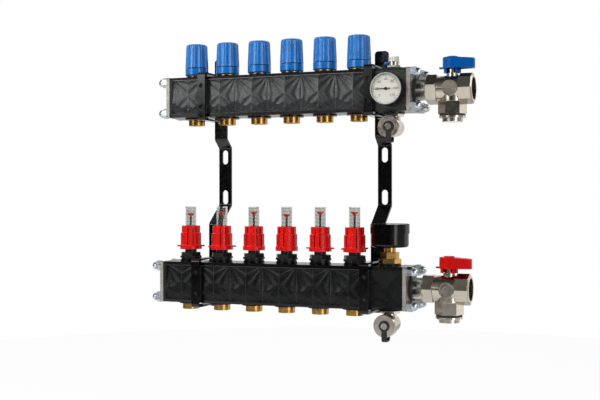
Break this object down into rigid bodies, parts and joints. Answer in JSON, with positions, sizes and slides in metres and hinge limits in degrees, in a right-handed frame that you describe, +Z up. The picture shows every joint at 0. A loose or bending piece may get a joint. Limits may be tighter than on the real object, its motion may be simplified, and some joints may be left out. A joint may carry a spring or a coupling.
{
  "type": "heating manifold",
  "caption": "Two modular plastic manifold bars on wall brackets, with return valves, flow meters, ball valves, drains, an air vent, a thermometer and a pressure gauge.",
  "frame": {"origin": "on the wall face, midway between the two fixing slots of the left bracket", "axes": "+X along the bars towards the ball valves, +Y into the wall, +Z up"},
  "size_m": [0.461, 0.1035, 0.4158],
  "materials": {
    "upper_bar_plastic": "satin moulded plastic, dark grey",
    "lower_bar_plastic": "satin moulded plastic, near black",
    "black_plastic": "moulded plastic, black",
    "gauge_plastic": "glossy black plastic",
    "blue_plastic": "glossy blue plastic",
    "red_plastic": "glossy red plastic",
    "white_plastic": "white plastic",
    "dial_white": "white painted dial",
    "clear_plastic": "clear moulded plastic",
    "needle_black": "black painted pointer",
    "steel_plate": "zinc-plated steel plate",
    "steel_strap": "black enamelled strip steel",
    "zinc_steel": "bright zinc-plated steel",
    "brass": "turned brass",
    "nickel_brass": "nickel-plated brass",
    "rubber": "black rubber"
  },
  "bodies": {
    "manifold": {"blank_ends": "black_plastic", "cap_nuts": "zinc_steel", "cap_rings": "blue_plastic", "clamp_pads": "rubber", "clamp_screws": "steel_strap", "clamps": "steel_strap", "drain_bodies": "nickel_brass", "drain_straps": "rubber", "end_plates": "steel_plate", "gauge_adapter": "brass", "gauge_bezel": "gauge_plastic", "gauge_case": "black_plastic", "instrument_dials": "dial_white", "instrument_lenses": "clear_plastic", "left_bracket": "steel_strap", "lower_end_module": "lower_bar_plastic", "lower_modules": "lower_bar_plastic", "meter_bodies": "black_plastic", "outlet_nipples": "brass", "right_bracket": "steel_strap", "seals": "rubber", "sight_tubes": "clear_plastic", "tailpieces": "nickel_brass", "thermometer_case": "black_plastic", "tie_rods": "steel_plate", "union_nuts": "nickel_brass", "upper_end_module": "upper_bar_plastic", "upper_modules": "upper_bar_plastic", "valve_bodies": "nickel_brass", "valve_inserts": "brass", "valve_plugs": "nickel_brass", "vent_body": "nickel_brass"},
    "return_cap_1": {"hand_cap_1": "blue_plastic"},
    "return_cap_2": {"hand_cap_2": "blue_plastic"},
    "return_cap_3": {"hand_cap_3": "blue_plastic"},
    "return_cap_4": {"hand_cap_4": "blue_plastic"},
    "return_cap_5": {"hand_cap_5": "blue_plastic"},
    "return_cap_6": {"hand_cap_6": "blue_plastic"},
    "flow_collar_1": {"meter_collar_1": "red_plastic"},
    "flow_collar_2": {"meter_collar_2": "red_plastic"},
    "flow_collar_3": {"meter_collar_3": "red_plastic"},
    "flow_collar_4": {"meter_collar_4": "red_plastic"},
    "flow_collar_5": {"meter_collar_5": "red_plastic"},
    "flow_collar_6": {"meter_collar_6": "red_plastic"},
    "flow_float_1": {"meter_float_1": "red_plastic"},
    "flow_float_2": {"meter_float_2": "red_plastic"},
    "flow_float_3": {"meter_float_3": "red_plastic"},
    "flow_float_4": {"meter_float_4": "red_plastic"},
    "flow_float_5": {"meter_float_5": "red_plastic"},
    "flow_float_6": {"meter_float_6": "red_plastic"},
    "temperature_needle": {"thermometer_needle": "needle_black"},
    "pressure_pointer": {"gauge_pointer": "needle_black"},
    "air_vent_cap": {"vent_cap": "white_plastic"},
    "air_vent_screw": {"vent_screw": "blue_plastic"},
    "upper_drain_closure": {"upper_drain_cap": "nickel_brass"},
    "lower_drain_closure": {"lower_drain_cap": "nickel_brass"},
    "upper_valve_rotor": {"upper_valve_lever": "blue_plastic", "upper_valve_ball": "nickel_brass"},
    "lower_valve_rotor": {"lower_valve_lever": "red_plastic", "lower_valve_ball": "nickel_brass"}
  },
  "joints": [
    {"name": "hand_cap_1_turn", "type": "hinge", "parent": "manifold", "child": "return_cap_1", "pos_m": [-0.025, -0.047, 0.175], "axis": [0, 0, 1], "range_deg": [-360, 360]},
    {"name": "hand_cap_2_turn", "type": "hinge", "parent": "manifold", "child": "return_cap_2", "pos_m": [0.025, -0.047, 0.175], "axis": [0, 0, 1], "range_deg": [-360, 360]},
    {"name": "hand_cap_3_turn", "type": "hinge", "parent": "manifold", "child": "return_cap_3", "pos_m": [0.075, -0.047, 0.175], "axis": [0, 0, 1], "range_deg": [-360, 360]},
    {"name": "hand_cap_4_turn", "type": "hinge", "parent": "manifold", "child": "return_cap_4", "pos_m": [0.125, -0.047, 0.175], "axis": [0, 0, 1], "range_deg": [-360, 360]},
    {"name": "hand_cap_5_turn", "type": "hinge", "parent": "manifold", "child": "return_cap_5", "pos_m": [0.175, -0.047, 0.175], "axis": [0, 0, 1], "range_deg": [-360, 360]},
    {"name": "hand_cap_6_turn", "type": "hinge", "parent": "manifold", "child": "return_cap_6", "pos_m": [0.225, -0.047, 0.175], "axis": [0, 0, 1], "range_deg": [-360, 360]},
    {"name": "meter_collar_1_turn", "type": "hinge", "parent": "manifold", "child": "flow_collar_1", "pos_m": [-0.025, -0.067, -0.088], "axis": [0, 0, 1], "range_deg": [-180, 360]},
    {"name": "meter_collar_2_turn", "type": "hinge", "parent": "manifold", "child": "flow_collar_2", "pos_m": [0.025, -0.067, -0.088], "axis": [0, 0, 1], "range_deg": [-180, 360]},
    {"name": "meter_collar_3_turn", "type": "hinge", "parent": "manifold", "child": "flow_collar_3", "pos_m": [0.075, -0.067, -0.088], "axis": [0, 0, 1], "range_deg": [-180, 360]},
    {"name": "meter_collar_4_turn", "type": "hinge", "parent": "manifold", "child": "flow_collar_4", "pos_m": [0.125, -0.067, -0.088], "axis": [0, 0, 1], "range_deg": [-180, 360]},
    {"name": "meter_collar_5_turn", "type": "hinge", "parent": "manifold", "child": "flow_collar_5", "pos_m": [0.175, -0.067, -0.088], "axis": [0, 0, 1], "range_deg": [-180, 360]},
    {"name": "meter_collar_6_turn", "type": "hinge", "parent": "manifold", "child": "flow_collar_6", "pos_m": [0.225, -0.067, -0.088], "axis": [0, 0, 1], "range_deg": [-180, 360]},
    {"name": "meter_float_1_slide", "type": "slide", "parent": "manifold", "child": "flow_float_1", "axis": [0, 0, 1], "range_m": [-0.014, 0.004]},
    {"name": "meter_float_2_slide", "type": "slide", "parent": "manifold", "child": "flow_float_2", "axis": [0, 0, 1], "range_m": [-0.014, 0.004]},
    {"name": "meter_float_3_slide", "type": "slide", "parent": "manifold", "child": "flow_float_3", "axis": [0, 0, 1], "range_m": [-0.014, 0.004]},
    {"name": "meter_float_4_slide", "type": "slide", "parent": "manifold", "child": "flow_float_4", "axis": [0, 0, 1], "range_m": [-0.014, 0.004]},
    {"name": "meter_float_5_slide", "type": "slide", "parent": "manifold", "child": "flow_float_5", "axis": [0, 0, 1], "range_m": [-0.014, 0.004]},
    {"name": "meter_float_6_slide", "type": "slide", "parent": "manifold", "child": "flow_float_6", "axis": [0, 0, 1], "range_m": [-0.014, 0.004]},
    {"name": "thermometer_needle_turn", "type": "hinge", "parent": "manifold", "child": "temperature_needle", "pos_m": [0.275, -0.076, 0.115], "axis": [0, -1, 0], "range_deg": [-225, 45]},
    {"name": "gauge_pointer_turn", "type": "hinge", "parent": "manifold", "child": "pressure_pointer", "pos_m": [0.275, -0.067, -0.076], "axis": [0, 0, 1], "range_deg": [-270, 0]},
    {"name": "vent_cap_turn", "type": "hinge", "parent": "manifold", "child": "air_vent_cap", "pos_m": [0.275, -0.047, 0.158], "axis": [0, 0, 1], "range_deg": [-360, 360]},
    {"name": "vent_screw_turn", "type": "hinge", "parent": "manifold", "child": "air_vent_screw", "pos_m": [0.265, -0.047, 0.1529], "axis": [-1, 0, 0], "range_deg": [0, 360]},
    {"name": "upper_drain_cap_turn", "type": "hinge", "parent": "manifold", "child": "upper_drain_closure", "pos_m": [0.275, -0.069, 0.0655], "axis": [0, -1, 0], "range_deg": [0, 360]},
    {"name": "lower_drain_cap_turn", "type": "hinge", "parent": "manifold", "child": "lower_drain_closure", "pos_m": [0.275, -0.089, -0.2005], "axis": [0, -1, 0], "range_deg": [0, 360]},
    {"name": "upper_valve_turn", "type": "hinge", "parent": "manifold", "child": "upper_valve_rotor", "pos_m": [0.356, -0.047, 0.145], "axis": [0, 0, 1], "range_deg": [-90, 0]},
    {"name": "lower_valve_turn", "type": "hinge", "parent": "manifold", "child": "lower_valve_rotor", "pos_m": [0.356, -0.067, -0.121], "axis": [0, 0, 1], "range_deg": [-90, 0]}
  ]
}
